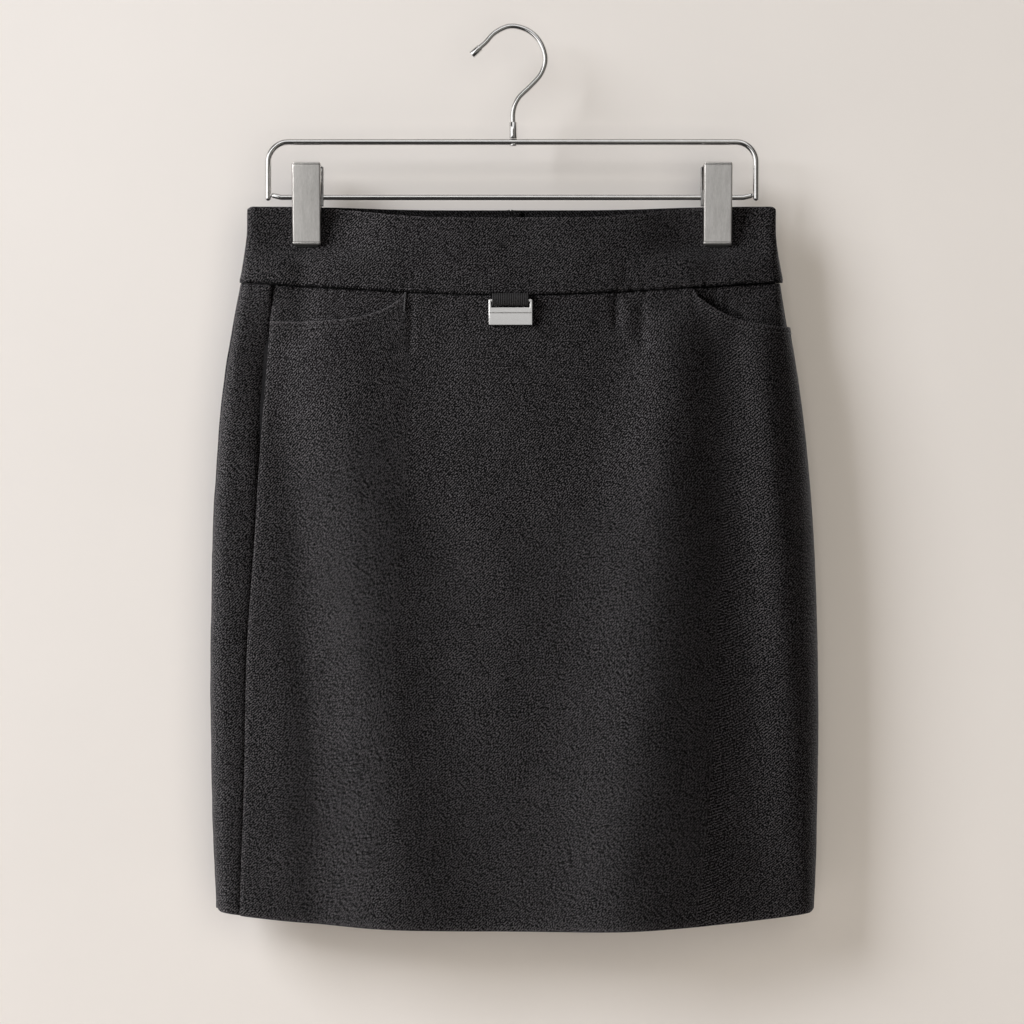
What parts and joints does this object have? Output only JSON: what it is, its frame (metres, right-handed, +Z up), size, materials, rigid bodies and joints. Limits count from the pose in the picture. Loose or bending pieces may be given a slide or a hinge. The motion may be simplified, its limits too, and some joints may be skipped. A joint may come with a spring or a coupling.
{
  "type": "skort on clip hanger",
  "caption": "Knee-length skort with hidden inner shorts, wide waistband, scooped pockets and a swinging tag, held by its waist on a wire clip hanger.",
  "frame": {"origin": "highest point inside the hanger's hook, where a rod or a wall hook carries it", "axes": "+Z up, -Y out of the garment's front, +X towards the wearer's left side"},
  "size_m": [0.4258, 0.0618, 0.6335],
  "materials": {
    "twill": "heathered charcoal twill",
    "facing": "heathered charcoal twill",
    "shorts": "smooth dark knit",
    "webbing": "ribbed black webbing",
    "tag_metal": "satin bright metal",
    "hanger_wire": "polished wire",
    "clip_steel": "vertical brushed",
    "clip_pad": "matt"
  },
  "bodies": {
    "garment": {"waistband_front": "twill", "waistband_back_left": "twill", "waistband_back_right": "twill", "skirt_front": "twill", "skirt_back_left": "twill", "skirt_back_right": "twill", "pocket_facing_right": "facing", "pocket_facing_left": "facing", "shorts_left": "shorts", "shorts_right": "shorts", "tag_loop": "webbing", "hanger_rail": "hanger_wire", "hanger_crossbar": "hanger_wire", "hanger_hook": "hanger_wire", "hook_tip": "hanger_wire", "hanger_collar": "hanger_wire", "hanger_rivet": "hanger_wire", "clip_right_front_jaw": "clip_steel", "clip_right_back_jaw": "clip_steel", "clip_right_front_pad": "clip_pad", "clip_right_back_pad": "clip_pad", "clip_right_spring": "clip_steel", "clip_right_bracket": "clip_steel", "clip_left_front_jaw": "clip_steel", "clip_left_back_jaw": "clip_steel", "clip_left_front_pad": "clip_pad", "clip_left_back_pad": "clip_pad", "clip_left_spring": "clip_steel", "clip_left_bracket": "clip_steel"},
    "tag": {"tag": "tag_metal"}
  },
  "joints": [
    {"name": "tag_swing", "type": "hinge", "parent": "garment", "child": "tag", "pos_m": [0, -0.01887, -0.1916], "axis": [-1, 0, 0], "range_deg": [0, 150]}
  ]
}
